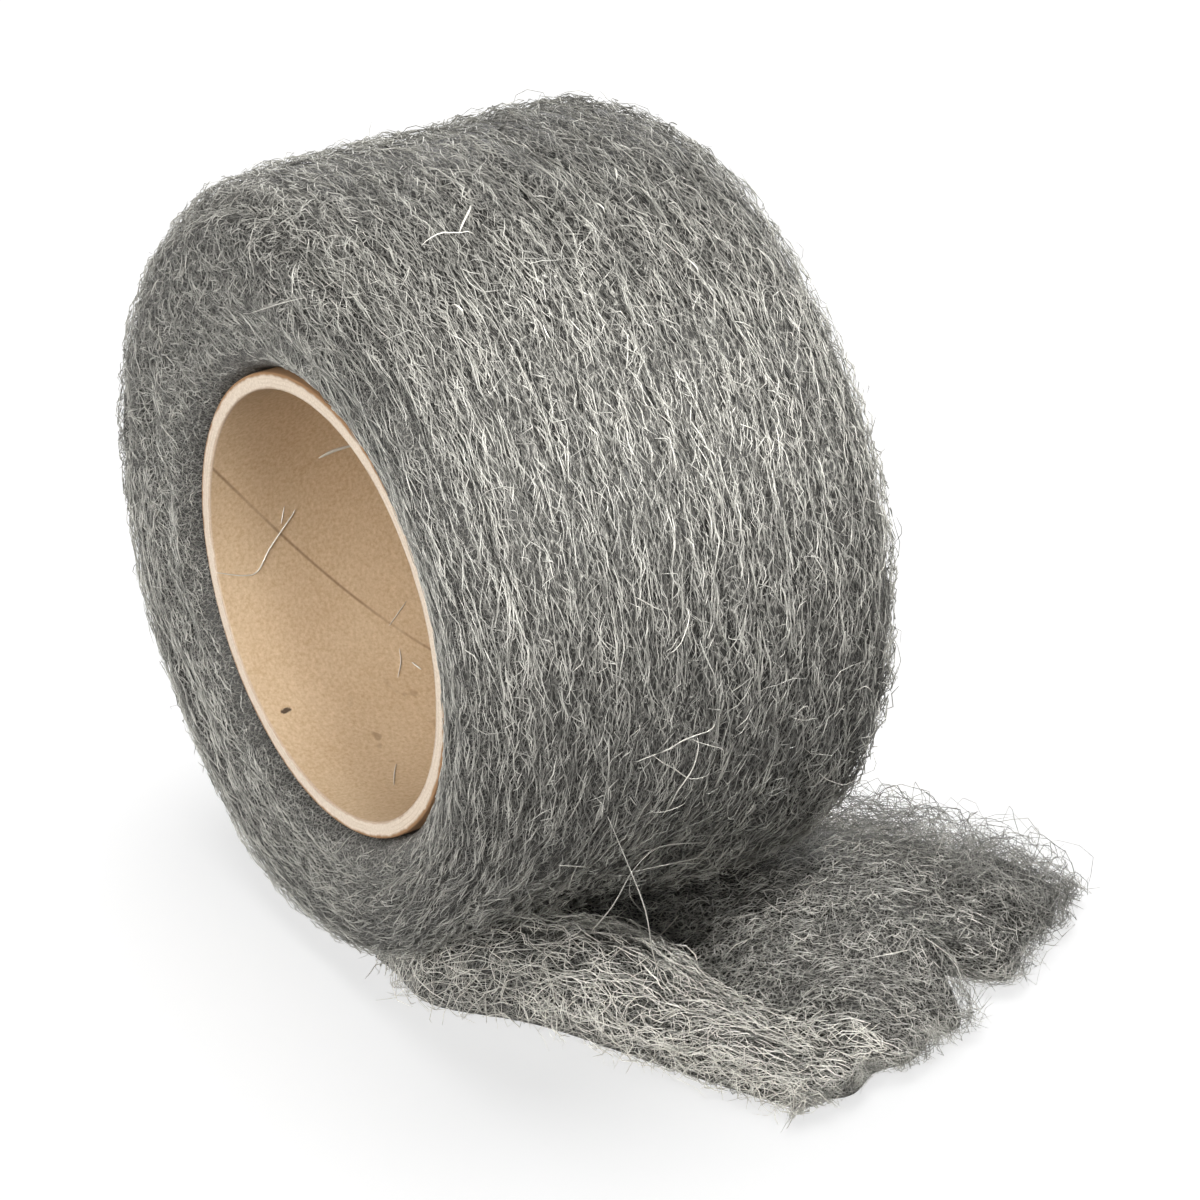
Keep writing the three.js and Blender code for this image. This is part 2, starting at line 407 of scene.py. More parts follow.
def tailPoints(form, along, across, top, depth=0.0):
    inAlong, inAcross = np.clip(along, 0, 1), np.clip(across, -1, 1)
    half = rollForm["width"] / 2 - form["inset"] - form["narrowing"] * inAlong ** 2
    notch = form["notch"] * hill(across, *form["notchShare"])
    ragged = form["ragged"] * np.sin(17 * across + 1)
    farSide = smoothStep(across, 0, 1)
    swell = form["lobe"] * np.sqrt(1 - inAcross ** 2) - notch + ragged
    rake = form["rake"] * across + form["farSetback"] * farSide
    x = form["start"] + (form["reach"] - form["start"]) * along
    x = x - rake * inAlong ** 2 + (swell - depth) * inAlong ** 5
    bulge = form["rootSpread"] * hill(along, *form["rootBulge"]) * np.maximum(0, -across)
    y = form["shift"] + form["drift"] * np.maximum(along, 0) ** form["driftPower"]
    y = y + form["farDraw"] * farSide * inAlong ** 2
    y = y + (half - depth * inAcross ** 2) * across - bulge
    edge = np.sqrt((1 - inAcross ** 8) * (1 - inAlong ** 10) * smoothStep(inAlong, 0, form["startShare"]))
    if not top:
        gap = form["underGap"]
        return np.stack([x, y, gap + (form["curl"] - 2 * gap) * (1 - edge)], -1)
    rise = np.maximum(tailRise(form, inAlong, inAcross) - depth, form["curl"])
    return np.stack([x, y, form["curl"] * (1 - edge) + rise * edge], -1)


def towardsEdge(share, wall):
    # even steps over a flat top and then down its rounded edge, for a share from -1 to 1
    slope = 2 / (2 - wall)
    size = np.abs(share)
    edge = 1 - slope / (2 * wall) * (1 - size) ** 2
    return np.sign(share) * np.where(size < 1 - wall, slope * size, edge)


def makeTailBody(form):
    columns, rows = form["alongSteps"] + 1, form["acrossSteps"] + 1
    u, v = np.meshgrid(np.linspace(0, 1, columns), np.linspace(-1, 1, rows), indexing="ij")
    along, across = towardsEdge(u, form["walls"][0]), towardsEdge(v, form["walls"][1])
    top = tailPoints(form, along, across, True, form["rind"]).reshape(-1, 3)
    under = tailPoints(form, along, across, False, form["rind"]).reshape(-1, 3)
    faces = gridFaces(columns, rows, False)
    flipped = faces[:, ::-1] + len(top)
    border = np.concatenate([
        np.arange(rows - 1), np.arange(columns - 1) * rows + rows - 1,
        (columns - 1) * rows + np.arange(rows - 1, 0, -1), np.arange(columns - 1, 0, -1) * rows,
    ])
    nextOne = np.roll(border, -1)
    rim = np.stack([border, nextOne, nextOne + len(top), border + len(top)], -1)
    points = np.concatenate([top, under])
    flat = np.stack([u.reshape(-1), (v.reshape(-1) + 1) / 2 * form["topShare"]], -1)
    flat = np.concatenate([flat, flat + (0, form["underStart"])])
    skinFaces = np.concatenate([faces, flipped])
    # the rim has a strip of its own
    step = np.arange(len(border))
    strip = quadUvs(step / len(step), (step + 1) / len(step), *form["rimStrip"])
    uvs = np.concatenate([flat[skinFaces.reshape(-1)], strip.reshape(-1, 2)])
    return meshObject("loose_end_body", points, np.concatenate([skinFaces, rim]), uvs)


# one geometry tree draws every set of fibres: arcs and waves laid out flat, then wrapped over a mesh
fibreShape = {
    "sides": 3,
    "mapEdge": 0.002,  # how near the map's edges a fibre may come
    "waveHeight": 4.0,  # of the noise, and the share of it that runs along the fibre
    "waveAlong": 0.4,
    "flatShare": 0.15,  # height that is left where fibres lie flat
    "tipShare": 0.45,  # thickness that is left at the tips
    "toneSpread": 0.3,
    "stripStep": 0.004,  # width of one side's strip of the map
    "stripReach": 0.98,
}


def buildFibreTree(values, shape):
    tree = bpy.data.node_groups.new("wrappedFibres", "GeometryNodeTree")
    addSocket(tree, "Carrier", "Geometry")
    for name, value in values.items():
        addSocket(tree, name, "Int" if isinstance(value, int) else "Float")
    addSocket(tree, "Material", "Material")
    addSocket(tree, "Fibres", "Geometry", "OUTPUT")
    entry = addNode(tree, "NodeGroupInput").outputs

    calc = partial(mathNode, tree)
    plus, minus, times, over = sums(tree)

    # straight lines, one for each fibre
    dots = addNode(tree, "GeometryNodePoints", {"Count": entry["Count"]})
    line = addNode(tree, "GeometryNodeCurvePrimitiveLine")
    cut = addNode(tree, "GeometryNodeResampleCurve", {"Curve": line, "Count": entry["Points"]})
    copies = addNode(tree, "GeometryNodeInstanceOnPoints", {"Points": dots, "Instance": cut})
    lines = addNode(tree, "GeometryNodeRealizeInstances", {"Geometry": copies})

    index = addNode(tree, "GeometryNodeInputIndex").outputs[0]
    fibre = calc("FLOOR", over(plus(index, 0.5), entry["Points"]))
    step = minus(index, times(fibre, entry["Points"]))
    share = over(step, minus(entry["Points"], 1.0))

    def chance(offset, low=0.0, high=1.0):
        inputs = {2: low, 3: high, "ID": fibre, "Seed": plus(entry["Seed"], float(offset))}
        return addNode(tree, "FunctionNodeRandomValue", inputs, data_type="FLOAT").outputs[1]

    def spread(offset):  # more often near 0 than near -1 or 1
        return minus(plus(chance(offset), chance(offset + 1)), 1.0)

    # an arc laid out flat
    longer = plus(1.0, times(chance(10, -1.0, 1.0), entry["Length Spread"]))
    run = times(minus(share, 0.5), times(entry["Length"], longer))
    bend = times(spread(20), entry["Bend"])
    bend = plus(bend, times(calc("SIGN", bend), 0.01))
    angle = times(run, bend)
    forward = over(calc("SINE", angle), bend)
    aside = over(minus(1.0, calc("COSINE", angle)), bend)
    slant = times(spread(30), entry["Slant"])
    cosine, sine = calc("COSINE", slant), calc("SINE", slant)
    along = minus(times(forward, cosine), times(aside, sine))
    across = plus(times(forward, sine), times(aside, cosine))

    # its waves
    place = combineNode(tree, over(run, entry["Wave Pitch"]),
                        times(fibre, 7.31), times(entry["Seed"], 3.7))
    noise = noiseNode(tree, place, 1.0, detail=1.0, output="Color")
    split = splitNode(tree, noise)
    wave = [times(minus(split[i], 0.5), shape["waveHeight"]) for i in range(3)]
    across = plus(across, times(wave[0], entry["Wave"]))
    along = plus(along, times(wave[2], times(entry["Wave"], shape["waveAlong"])))

    # where it lies on the carrier
    u = plus(chance(40, entry["From Around"], entry["To Around"]),
             over(along, entry["Size Around"]))

    def turnedBack(value, edge):  # what would run off the carrier turns back at its edge
        kept = minus(edge, calc("ABSOLUTE", minus(edge, calc("ABSOLUTE", value))))
        return calc("MAXIMUM", kept, shape["mapEdge"])

    held = turnedBack(u, 1 - shape["mapEdge"])
    u = plus(times(calc("FRACT", u), entry["Wrap"]), times(held, minus(1.0, entry["Wrap"])))
    v = plus(chance(50, entry["From Across"], entry["To Across"]),
             over(across, entry["Size Across"]))
    v = turnedBack(v, entry["Reach Across"])
    spot = combineNode(tree, u, v)

    def named(name, kind="FLOAT"):
        node = addNode(tree, "GeometryNodeInputNamedAttribute", {"Name": name}, data_type=kind)
        return node.outputs["Attribute"]

    uvMap = named("OFBake", "FLOAT_VECTOR")

    def fromCarrier(kind):
        field = addNode(tree, kind)
        inputs = {"Mesh": entry["Carrier"], "Value": field, "UV Map": uvMap, "Sample UV": spot}
        sample = addNode(tree, "GeometryNodeSampleUVSurface", inputs, data_type="FLOAT_VECTOR")
        return sample.outputs["Value"]

    ground = fromCarrier("GeometryNodeInputPosition")
    upward = fromCarrier("GeometryNodeInputNormal")
    # fibres that lie together rise and sink together; below, the sunk ones are painted darker and the
    # raised ones lighter, as painted shade and highlight
    middle = combineNode(
        tree,
        over(times(u, entry["Size Around"]), entry["Clump Length"]),
        over(times(v, entry["Size Across"]), entry["Clump Width"]),
        3.3,
    )
    clump = minus(noiseNode(tree, middle, 1.0, detail=1.0), 0.5)
    level = chance(60)
    lift = calc("MULTIPLY_ADD", level, minus(entry["High"], entry["Low"]), entry["Low"])
    lift = plus(lift, times(clump, entry["Clump Lift"]))
    lift = plus(lift, times(wave[1], times(entry["Wave"], entry["Wave Lift"])))
    arch = calc("SINE", times(share, math.pi))
    rare = calc("POWER", chance(70), 2.0)
    lift = plus(lift, times(times(arch, rare), entry["Loop"]))
    tip = calc("POWER", share, 2.0)
    flicked = calc("POWER", chance(80), 2.0)
    lift = plus(lift, times(times(tip, flicked), entry["Flick"]))
    lift = times(lift, rangeNode(tree, v, entry["Flat To"], entry["Full From"], shape["flatShare"]))
    away = vectorNode(tree, "ADD", ground, vectorNode(tree, "SCALE", upward, lift))
    # nothing goes through the floor
    x, y, z = splitNode(tree, away)
    away = combineNode(tree, x, y, calc("MAXIMUM", z, times(entry["Thickness"], 0.5)))

    bent = addNode(tree, "GeometryNodeSetPosition", {"Geometry": lines, "Position": away})

    thick = plus(1.0, times(chance(90, -1.0, 1.0), entry["Thickness Spread"]))
    taper = plus(shape["tipShare"], times(calc("POWER", arch, 0.5), 1 - shape["tipShare"]))
    radius = times(times(entry["Thickness"], 0.5), times(thick, taper))
    sized = addNode(tree, "GeometryNodeSetCurveRadius", {"Curve": bent, "Radius": radius})

    def store(geometry, name, value, kind="FLOAT", domain="POINT"):
        inputs = {"Geometry": geometry, "Name": name, "Value": value}
        return addNode(tree, "GeometryNodeStoreNamedAttribute", inputs, data_type=kind, domain=domain)

    # tone: random per fibre, plus painted shade and highlight: fibres of sunk clumps and low-lying fibres
    # darker, raised ones lighter
    tone = chance(100, -shape["toneSpread"], shape["toneSpread"])
    tone = plus(tone, times(clump, entry["Clump Painted Shade"]))
    tone = calc("MULTIPLY_ADD", minus(level, 0.5), entry["Depth Painted Shade"], tone)
    tone = plus(tone, entry["Tone"])
    tone = calc("MINIMUM", calc("MAXIMUM", tone, 0.0), 1.0)
    curves = store(store(sized, "tone", tone), "share", share)
    inputs = {"Resolution": shape["sides"], "Radius": 1.0}
    ring = addNode(tree, "GeometryNodeCurvePrimitiveCircle", inputs)
    profile = store(ring, "side", times(index, 1.0))
    inputs = {"Curve": curves, "Profile Curve": profile, "Scale": radius, "Fill Caps": True}
    wires = addNode(tree, "GeometryNodeCurveToMesh", inputs)

    # each fibre has a narrow upright strip of the map, at its own tone
    strip = plus(times(named("tone"), shape["stripReach"]), times(named("side"), shape["stripStep"]))
    spot = combineNode(tree, strip, named("share"))
    mapped = store(wires, "OFBake", spot, "FLOAT2", "CORNER")
    smooth = addNode(tree, "GeometryNodeSetShadeSmooth", {"Geometry": mapped})
    whole = addNode(tree, "GeometryNodeRealizeInstances", {"Geometry": smooth})
    finish = addNode(tree, "GeometryNodeSetMaterial", {"Geometry": whole, "Material": entry["Material"]})
    addNode(tree, "NodeGroupOutput", {0: finish})
    return tree


def growFibres(name, tree, carrier, values, material):
    holder = addObject(name + "_holder", carrier.data)
    modifier = holder.modifiers.new("fibres", "NODES")
    modifier.node_group = tree
    sockets = {s.name: s.identifier for s in tree.interface.items_tree if s.in_out == "INPUT"}
    for key, value in values.items():
        modifier[sockets[key]] = value
    modifier[sockets["Material"]] = material
    shown = holder.evaluated_get(bpy.context.evaluated_depsgraph_get())
    mesh = bpy.data.meshes.new_from_object(shown)
    mesh.name = name
    bpy.data.objects.remove(holder)
    for extra in ("tone", "share", "side", "radius"):
        if extra in mesh.attributes:
            mesh.attributes.remove(mesh.attributes[extra])
    mesh.calc_loop_triangles()
    print("fibres", name, "triangles", len(mesh.loop_triangles))
    return addObject(name, mesh)


# fine fibres drawn in the material, between the modelled ones: the edges of two nets of bent cells
netLook = {
    "start": {"Cell Length": 3 * mm, "Cell Width": 1 * mm, "Spread": 0.4, "Line": 0.13},
    "layers": ((-0.5, 1.0, 1.0), (0.5, 1.6, 0.75)),  # share of the spread, scale and weight of each net
    "layerGap": 7.3,
    "bendScale": 1.4,
    "bend": 1.1,
    "clumpScale": 160.0,
}


def buildFineNet(look):
    group = bpy.data.node_groups.new("fineFibreNet", "ShaderNodeTree")
    addSocket(group, "Place", "Vector")
    for name, value in look["start"].items():
        addSocket(group, name, "Float").default_value = value
    addSocket(group, "Strand", "Float", "OUTPUT")
    addSocket(group, "Clump", "Float", "OUTPUT")
    entry = addNode(group, "NodeGroupInput").outputs
    strand = None
    for layer, (turn, scale, weight) in enumerate(look["layers"]):
        inputs = {"Vector": entry["Place"], "Angle": mathNode(group, "MULTIPLY", entry["Spread"], turn)}
        turned = addNode(group, "ShaderNodeVectorRotate", inputs, rotation_type="Z_AXIS")
        x, y = splitNode(group, turned)[:2]
        place = combineNode(
            group,
            mathNode(group, "DIVIDE", x, entry["Cell Length"]),
            mathNode(group, "DIVIDE", y, entry["Cell Width"]),
            look["layerGap"] * layer,
        )
        noise = noiseNode(group, place, look["bendScale"], detail=1.0, output="Color")
        bent = vectorNode(group, "SUBTRACT", noise, (0.5, 0.5, 0.5))
        bent = vectorNode(group, "ADD", place, vectorNode(group, "SCALE", bent, look["bend"]))
        cells = addNode(group, "ShaderNodeTexVoronoi", {"Vector": bent, "Scale": scale},
                        feature="DISTANCE_TO_EDGE", voronoi_dimensions="2D")
        line = rangeNode(group, cells.outputs["Distance"], 0.0, entry["Line"], weight, 0.0)
        strand = line if strand is None else mathNode(group, "MAXIMUM", strand, line)
    clump = noiseNode(group, entry["Place"], look["clumpScale"])
    addNode(group, "NodeGroupOutput", {"Strand": strand, "Clump": clump})
    return group


def steelFibreMaterial(name, look):
    material, tree, shader = newMaterial(name, look)
    uv = addNode(tree, "ShaderNodeUVMap", uv_map="OFBake")
    # each fibre has its own tone, a little uneven along it
    place = vectorNode(tree, "MULTIPLY", uv, look["patches"])
    uneven = rangeNode(tree, noiseNode(tree, place, 1.0), *noiseSpan, -look["uneven"], look["uneven"])
    tone = mathNode(tree, "ADD", splitNode(tree, uv)[0], uneven, clamp=True)
    plug(tree, shader.inputs["Base Color"], mixColour(tree, tone, look["dark"], look["bright"]))
    return material


def deepWoolMaterial(name, net, values):
    material, tree, shader = newMaterial(name, values)
    uv = addNode(tree, "ShaderNodeUVMap", uv_map="OFBake")
    size = (values["sizeAlong"], values["sizeAcross"], 0.0)
    place = vectorNode(tree, "MULTIPLY", uv, size)

    def drawn(cell):
        inputs = {"Place": place} | dict(zip(("Cell Length", "Cell Width", "Spread"), cell))
        return addNode(tree, "ShaderNodeGroup", inputs, node_tree=net).outputs

    fine = drawn(values["cell"])
    strand = fine["Strand"]
    if "endCell" in values:
        across = splitNode(tree, uv)[1]
        atNear = rangeNode(tree, across, *values["nearEnd"], 1.0, 0.0)
        atEnd = mathNode(tree, "ADD", atNear, rangeNode(tree, across, *values["farEnd"]))
        other = mathNode(tree, "SUBTRACT", drawn(values["endCell"])["Strand"], strand)
        strand = mathNode(tree, "MULTIPLY_ADD", other, atEnd, strand)
    clump = rangeNode(tree, fine["Clump"], *noiseSpan, *values["clumpShade"])
    shade = mathNode(tree, "MULTIPLY", strand, clump)
    # dark between the drawn fibres: painted shade of the hollows
    plug(tree, shader.inputs["Base Color"], mixColour(tree, shade, values["dark"], values["bright"]))
    bumpNode(tree, shader, strand, *values["bump"])
    return material


# card tube, spiral wound from kraft board
tubeForm = {
    "wall": 3 * mm,
    "edge": 0.35 * mm,
    "plies": 4,
    "plyStep": 0.06 * mm,  # how far neighbouring plies stand out at the cut rim
    "waviness": 0.1 * mm,
    "steps": 180,
    "cornerSteps": 4,
    "insideSteps": 8,
}
tubeInner = tubeRadius - tubeForm["wall"]


def makeTube(form):
    edge = form["edge"]
    corner = np.linspace(0, 1, form["cornerSteps"]) * math.pi / 2
    # section, from the near rim's inner corner: near rim, outer wall, far rim, inner wall
    rim = np.linspace(tubeInner + edge, tubeRadius - edge, 2 * form["plies"])[1:-1]
    steps = np.repeat((-1) ** np.arange(form["plies"]), 2)[1:-1] * form["plyStep"] / 2

    def rounded(r, start):
        turn = corner + start
        return list(zip(r + edge * np.cos(turn), -tubeHalf + edge + edge * np.sin(turn)))

    near = rounded(tubeInner + edge, math.pi)
    near += [(r, -tubeHalf + abs(s) + s) for r, s in zip(rim, steps)]
    near += rounded(tubeRadius - edge, 1.5 * math.pi)
    far = [(r, -y) for r, y in reversed(near)]
    inside = [(tubeInner, y) for y in np.linspace(tubeHalf, -tubeHalf, form["insideSteps"])[1:-1]]
    outline = np.array(near + far + inside)
    count = len(outline)
    turn = np.linspace(0, 2 * math.pi, form["steps"], endpoint=False)
    wave = form["waviness"] * (np.sin(3 * turn + 0.5) + 0.6 * np.sin(8 * turn + 2) - 1.6) / 2
    r, y = outline[:, 0], outline[:, 1]
    atRim = np.sign(y) * (np.abs(y) > tubeHalf - 2 * edge)
    points = np.stack([
        np.cos(turn)[:, None] * r,
        y + wave[:, None] * atRim,
        np.sin(turn)[:, None] * r + axisHeight,
    ], -1).reshape(-1, 3)
    a = np.arange(form["steps"])[:, None] * count + np.arange(count)
    b = np.roll(np.arange(form["steps"]), -1)[:, None] * count + np.arange(count)
    faces = np.stack([a, np.roll(a, -1, 1), np.roll(b, -1, 1), b], -1).reshape(-1, 4)
    return meshObject("card_tube", points, faces)


cardLook = {
    "kraftDark": linear(182, 154, 120),
    "kraftLight": linear(214, 191, 160),
    "rimDark": linear(186, 166, 144),
    "rimLight": linear(222, 208, 191),
    "outerPly": linear(150, 116, 84),
    "seam": linear(112, 82, 54),
    "speck": linear(58, 44, 34),
    "seamPitch": 182.5 * mm,  # one turn of the spiral
    "seamStart": 162.6,  # degrees, where the seam leaves the near rim
    "seamWidth": 0.42 * mm,
    "speckPlace": (237.0, -34.8 * mm),  # degrees and place along the axis
    "speckSize": (0.55 * mm, 1.15 * mm, 0.55 * mm),
    "smudgePlace": (254.0, -16.0 * mm),
    "smudgeReach": (5 * mm, 13 * mm),
    "plyWidth": 0.75 * mm,
    "plyWobble": 1.2 * mm,
    "plyFray": 0.9 * mm,
    "roughness": 0.85,
    "gloss": 0.25,
    "bump": (0.12, 0.2 * mm),  # strength, distance
}
# sizes of the card's noises, per metre
cardNoise = {
    "grain": 1500.0,
    "cloud": 60.0,
    "wear": 45.0,
    "smudge": 330.0,
    "wobble": 90.0,
    "ply": 70.0,
    "pulp": 2600.0,
    "fray": 500.0,
}


def insideTube(degrees, y):
    turn = math.radians(degrees)
    return (tubeInner * math.cos(turn), y, axisHeight + tubeInner * math.sin(turn))


def cardMaterial(look):
    material, tree, shader = newMaterial("kraftCard", look)

    calc = partial(mathNode, tree)
    plus, minus, times, over = sums(tree)

    where = addNode(tree, "ShaderNodeTexCoord").outputs["Object"]
    x, y, height = splitNode(tree, where)
    z = minus(height, axisHeight)
    radius = calc("SQRT", plus(times(x, x), times(z, z)))

    def noise(name, detail=2.0, roughness=0.5):
        return noiseNode(tree, where, cardNoise[name], detail, roughness)

    def uneven(name, size):  # noise about 0
        return times(minus(noise(name), 0.5), size)

    def awayFrom(place):
        return vectorNode(tree, "SUBTRACT", where, insideTube(*place))

    turn = calc("ARCTAN2", z, x)
    inside = rangeNode(tree, radius, tubeInner + 0.1 * mm, tubeInner + 0.5 * mm, 1.0, 0.0)
    atRim = rangeNode(tree, calc("ABSOLUTE", y), tubeHalf - 0.5 * mm, tubeHalf - 0.25 * mm)

    # kraft face: fine grain and soft clouds
    grain = noise("grain", 3.0, 0.65)
    mottle = plus(times(grain, 0.8), times(noise("cloud", 3.0), 0.2))
    colour = mixColour(tree, rangeNode(tree, mottle, *noiseSpan), look["kraftDark"], look["kraftLight"])

    # spiral seam on the inside
    lead = over(plus(y, tubeHalf), look["seamPitch"])
    lead = minus(lead, over(minus(turn, math.radians(look["seamStart"])), 2 * math.pi))
    offset = calc("ABSOLUTE", minus(calc("FRACT", plus(lead, 0.5)), 0.5))
    offset = times(offset, look["seamPitch"])
    seam = rangeNode(tree, offset, 0.3 * look["seamWidth"], 1.1 * look["seamWidth"], 1.0, 0.0)
    worn = rangeNode(tree, noise("wear", 1.0), 0.3, 0.6, 0.15, 0.6)
    seam = times(times(seam, inside), worn)
    colour = mixColour(tree, seam, colour, look["seam"])

    # one dark speck and a few scuffs
    speckAway = vectorNode(tree, "DIVIDE", awayFrom(look["speckPlace"]), look["speckSize"])
    speckAway = vectorNode(tree, "LENGTH", speckAway)
    speckAway = plus(speckAway, times(minus(grain, 0.5), 0.9))
    colour = mixColour(tree, rangeNode(tree, speckAway, 0.7, 1.1, 0.92, 0.0), colour, look["speck"])
    smudgeAway = vectorNode(tree, "LENGTH", awayFrom(look["smudgePlace"]))
    smudge = rangeNode(tree, noise("smudge", 1.0), 0.64, 0.72)
    smudge = times(smudge, rangeNode(tree, smudgeAway, *look["smudgeReach"], 0.5, 0.0))
    colour = mixColour(tree, smudge, colour, look["seam"])

    # pale cut rim with ply lines, the brown outer ply, and a thin brown line along the rim's inner edge
    wobble = uneven("wobble", look["plyWobble"])
    ply = calc("FRACT", over(plus(minus(radius, tubeInner), wobble), look["plyWidth"]))
    ply = rangeNode(tree, calc("ABSOLUTE", minus(ply, 0.5)), 0.0, 0.16, 1.0, 0.0)
    ply = times(ply, rangeNode(tree, noise("ply"), 0.42, 0.62))
    pulp = rangeNode(tree, noise("pulp"), *noiseSpan, 1.0, 0.45)
    pale = mixColour(tree, pulp, look["rimDark"], look["rimLight"])
    pale = mixColour(tree, times(ply, 0.75), pale, look["rimDark"])
    colour = mixColour(tree, atRim, colour, pale)
    frayed = plus(radius, uneven("fray", look["plyFray"]))
    outerPly = rangeNode(tree, frayed, tubeRadius - 0.8 * mm, tubeRadius - 0.35 * mm)
    # a thin brown line along the rim's inner edge
    innerRimLine = rangeNode(tree, frayed, tubeInner + 0.2 * mm, tubeInner + 0.5 * mm, 0.5, 0.0)
    colour = mixColour(tree, times(innerRimLine, atRim), colour, look["outerPly"])
    colour = mixColour(tree, outerPly, colour, look["outerPly"])

    plug(tree, shader.inputs["Base Color"], colour)
    bumpNode(tree, shader, minus(times(grain, 0.5), seam), *look["bump"])
    return material


# floor, backdrop and light
stageLook = {
    "radius": 6.0,  # metres
    "wallHeight": 2.4,
    "steps": 64,
    "grey": 0.12,  # what the floor throws back on the object
    "seenGrey": 0.4,
    "floorGlow": 0.74,  # deep shade; with the floor lamp on top of it the floor is white
    "wallGlow": 1.0,
    "skyGlow": 0.1,
}


def glowMaterial(name, glow, grey, seenGrey):
    # white to the camera and in reflections, and grey to the light that falls on it
    material = bpy.data.materials.new(name)
    material.use_nodes = True
    tree = material.node_tree
    tree.nodes.clear()
    path = addNode(tree, "ShaderNodeLightPath").outputs
    seen = mathNode(tree, "ADD", path["Is Camera Ray"], path["Is Glossy Ray"], clamp=True)
    seen = mathNode(tree, "ADD", seen, path["Is Transmission Ray"], clamp=True)
    shine = addNode(tree, "ShaderNodeEmission", {"Strength": mathNode(tree, "MULTIPLY", seen, glow)})
    shade = mathNode(tree, "MULTIPLY_ADD", path["Is Camera Ray"], seenGrey - grey, grey)
    diffuse = addNode(tree, "ShaderNodeBsdfDiffuse", {"Color": combineNode(tree, shade, shade, shade)})
    both = addNode(tree, "ShaderNodeAddShader", {0: diffuse, 1: shine})
    addNode(tree, "ShaderNodeOutputMaterial", {"Surface": both})
    return material


def makeStage(look):
    steps = look["steps"]
    turn = np.linspace(0, 2 * math.pi, steps, endpoint=False)
    ring = np.stack([look["radius"] * np.cos(turn), look["radius"] * np.sin(turn), np.zeros(steps)], -1)
    floor = meshObject("floor", ring, [list(range(steps))])
    pale = glowMaterial("paleFloor", look["floorGlow"], look["grey"], look["seenGrey"])
    floor.data.materials.append(pale)
    around = np.arange(steps)
    after = np.roll(around, -1)
    wall = meshObject("backdrop", np.concatenate([ring, ring + [0, 0, look["wallHeight"]]]),
                      np.stack([after, around, around + steps, after + steps], -1))
    pale = glowMaterial("paleBackdrop", look["wallGlow"], look["grey"], look["grey"])
    wall.data.materials.append(pale)
    wall.visible_shadow = False
    return floor


studioLamps = {
    # degrees, metres and watts; a lamp with a cone is a soft spot, one with a spread lights the floor
    # alone from far off, in watts per square metre, and the others are square panels
    "floorLamp": {"azimuth": 250, "elevation": 76, "distance": 1.5, "spread": 42, "power": 2.3},
    "endPanel": {"azimuth": 15, "elevation": 45, "distance": 1.2, "width": 0.9, "power": 6.7},
    "lowPanel": {"azimuth": 16, "elevation": 9, "distance": 1.2, "width": 0.9, "power": 14.5},
    "backPanel": {"azimuth": 228, "elevation": 14, "distance": 1.2, "width": 0.9, "power": 11.0},
    "sideSpot": {"azimuth": 110, "elevation": 30, "distance": 0.9, "width": 0.12, "power": 106.0,
                 "cone": 9.4, "aim": (0.035, -0.005, 0.139)},
    "endSpot": {"azimuth": 45, "elevation": 25, "distance": 0.9, "width": 0.12, "power": 11.5,
                "cone": 10, "aim": (-0.005, -0.044, 0.07)},
    "grazingSpot": {"azimuth": 78, "elevation": 40, "distance": 0.9, "width": 0.12, "power": 9.0,
                    "cone": 10, "aim": (-0.005, -0.044, 0.07)},
    "looseEndSpot": {"azimuth": 100, "elevation": 70, "distance": 0.9, "width": 0.12, "power": 57.0,
                     "cone": 9, "aim": (0.063, 0.03, 0.005)},
}


def makeLamp(name, lamp, floor):
    if "cone" in lamp:
        data = bpy.data.lights.new(name, "SPOT")
        data.spot_size = math.radians(lamp["cone"])
        data.spot_blend = 1.0
        data.shadow_soft_size = lamp["width"] / 2
    elif "spread" in lamp:
        data = bpy.data.lights.new(name, "SUN")
        data.angle = math.radians(lamp["spread"])
    else:
        data = bpy.data.lights.new(name, "AREA")
        data.shape = "SQUARE"
        data.size = lamp["width"]
    data.energy = lamp["power"]
    lampObject = addObject(name, data)
    lookAt(lampObject, lamp.get("aim", (0, 0, axisHeight)), lamp)
    # the floor's own lamp lights nothing else, and the others light all but the floor
    receivers = bpy.data.collections.new(name + "Receivers")
    receivers.objects.link(floor)
    linking = receivers.collection_objects[0].light_linking
    linking.link_state = "INCLUDE" if "spread" in lamp else "EXCLUDE"
    lampObject.light_linking.receiver_collection = receivers


def makeLamps(lamps, floor, skyGlow):
    for name, lamp in lamps.items():
        makeLamp(name, lamp, floor)
    world = bpy.data.worlds.new("studio")
    world.use_nodes = True
    sky = world.node_tree.nodes["Background"].inputs
    sky["Color"].default_value = (1, 1, 1, 1)
    sky["Strength"].default_value = skyGlow
    bpy.context.scene.world = world


bpy.context.scene.view_settings.view_transform = "Standard"
makeCamera(photoCamera)
makeLamps(studioLamps, makeStage(stageLook), stageLook["skyGlow"])
print("camera, floor and lamps made")

rollBody = makeRollBody(rollForm)
tailBody = makeTailBody(tailForm)
print("wool bodies made")

steelLook = {
    "dark": linear(116, 115, 110),
    "bright": linear(200, 198, 190),
    "patches": (60.0, 3.0, 0.0),  # of lighter and darker steel, per unit of the map
    "uneven": 0.15,
    "metallic": 0.3,
    "roughness": 0.45,
}
# a lighter copy of the steel, for single fibres that stand out and for the loose end's near ribbon and
# fringe: painted highlight
paintedHighlightLook = steelLook | {
    "dark": linear(196, 193, 184),
    "bright": linear(232, 229, 220),
    "metallic": 0.25,
    "roughness": 0.5,
}
